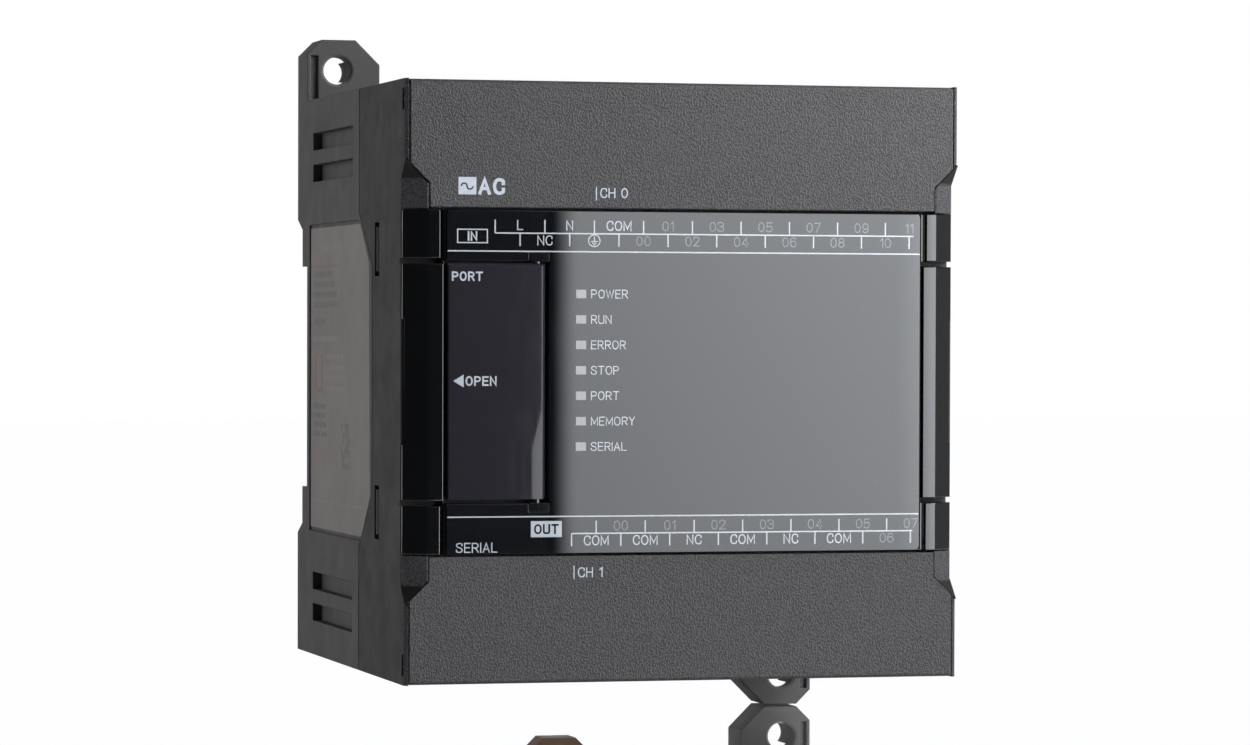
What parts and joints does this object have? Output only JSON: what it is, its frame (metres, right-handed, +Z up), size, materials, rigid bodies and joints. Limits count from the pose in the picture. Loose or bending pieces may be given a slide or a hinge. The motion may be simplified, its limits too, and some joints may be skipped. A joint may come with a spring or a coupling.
{
  "type": "programmable logic controller",
  "caption": "Compact rail-mounted controller module with hinged terminal covers, a gloss display plate, a peripheral door and diagonal screw tabs.",
  "frame": {"origin": "centre of the rear wall plane, on the centreline of the rail channel", "axes": "+Z up when the module is mounted on a vertical wall, front faces -Y, +X to the right seen from the front"},
  "size_m": [0.086, 0.085, 0.11],
  "materials": {
    "case_front": "fine-grained moulded plastic, warm dark grey",
    "case_rear": "fine-grained moulded plastic, warm dark grey",
    "cover": "coarse leather grain, dark grey",
    "gloss_black": "polished black",
    "display": "polished smoked plate",
    "door": "satin gloss black",
    "lock": "brown acetal",
    "label": "grey polyester label",
    "terminal_black": "glass-filled black plastic",
    "tinned": "tinned plate",
    "screw": "zinc-plated steel",
    "guide": "milky light guide",
    "lamp": "indicator lamp",
    "metal_shell": "nickel-plated sheet",
    "white_plastic": "white insulating plastic",
    "blue_body": "blue component body",
    "board_green": "green solder resist",
    "board_brown": "brown board with resist",
    "chip": "moulded black package",
    "relay": "dark blue-black relay case",
    "ferrite": "ferrite",
    "winding": "yellow tape over copper",
    "capacitor": "shrink sleeve",
    "copper": "enamelled copper",
    "heat_alu": "plain aluminium",
    "paper_sheet": "insulating sheet"
  },
  "bodies": {
    "case": {"rear_case": "case_rear", "front_case": "case_front", "front_bezel": "gloss_black", "plate_rim": "gloss_black", "display_plate": "display", "rating_label": "label", "input_terminal_block": "terminal_black", "output_terminal_block": "terminal_black", "input_contacts": "tinned", "output_contacts": "tinned", "input_clamp_plates": "tinned", "output_clamp_plates": "tinned", "input_terminal_screws": "screw", "output_terminal_screws": "screw", "status_light_guides": "guide", "signal_light_guides": "guide", "status_lamps": "lamp", "signal_lamps": "lamp", "usb_socket_shell": "metal_shell", "usb_socket_tongue": "white_plastic", "adjuster_bodies": "blue_body", "serial_shell": "metal_shell", "serial_insulator": "terminal_black", "serial_jack_screws": "screw", "cpu_board": "board_green", "io_board": "board_green", "power_board": "board_brown", "processor_chip": "chip", "memory_chip": "chip", "clock_crystal": "metal_shell", "memory_capacitor": "capacitor", "board_connector": "terminal_black", "power_link": "white_plastic", "input_isolators": "white_plastic", "output_relays": "relay", "transformer_core": "ferrite", "transformer_winding": "winding", "bulk_capacitor": "capacitor", "output_capacitors": "capacitor", "line_choke": "copper", "line_fuse": "white_plastic", "surge_absorber": "blue_body", "bridge_rectifier": "chip", "heat_sink": "heat_alu", "switching_transistor": "chip", "insulating_sheet": "paper_sheet", "board_screws": "screw", "cpu_board_screws": "screw"},
    "peripheral_door": {"peripheral_door": "door"},
    "input_cover": {"input_terminal_cover": "cover"},
    "output_cover": {"output_terminal_cover": "cover"},
    "rail_lock": {"rail_lock": "lock"},
    "adjuster_0": {"adjuster_knob_0": "white_plastic"},
    "adjuster_1": {"adjuster_knob_1": "white_plastic"}
  },
  "joints": [
    {"name": "peripheral_door_hinge", "type": "hinge", "parent": "case", "child": "peripheral_door", "pos_m": [-0.0227, -0.08375, 0], "axis": [0, 0, 1], "range_deg": [0, 110]},
    {"name": "input_cover_hinge", "type": "hinge", "parent": "case", "child": "input_cover", "pos_m": [0, -0.0808, 0.0426], "axis": [-1, 0, 0], "range_deg": [0, 100]},
    {"name": "output_cover_hinge", "type": "hinge", "parent": "case", "child": "output_cover", "pos_m": [0, -0.0808, -0.0426], "axis": [1, 0, 0], "range_deg": [0, 100]},
    {"name": "rail_lock_slide", "type": "slide", "parent": "case", "child": "rail_lock", "axis": [0, 0, -1], "range_m": [0, 0.005]},
    {"name": "adjuster_0_turn", "type": "hinge", "parent": "case", "child": "adjuster_0", "pos_m": [-0.0326, -0.075, -0.0086], "axis": [0, -1, 0], "range_deg": [-135, 135]},
    {"name": "adjuster_1_turn", "type": "hinge", "parent": "case", "child": "adjuster_1", "pos_m": [-0.0254, -0.075, -0.0086], "axis": [0, -1, 0], "range_deg": [-135, 135]}
  ]
}
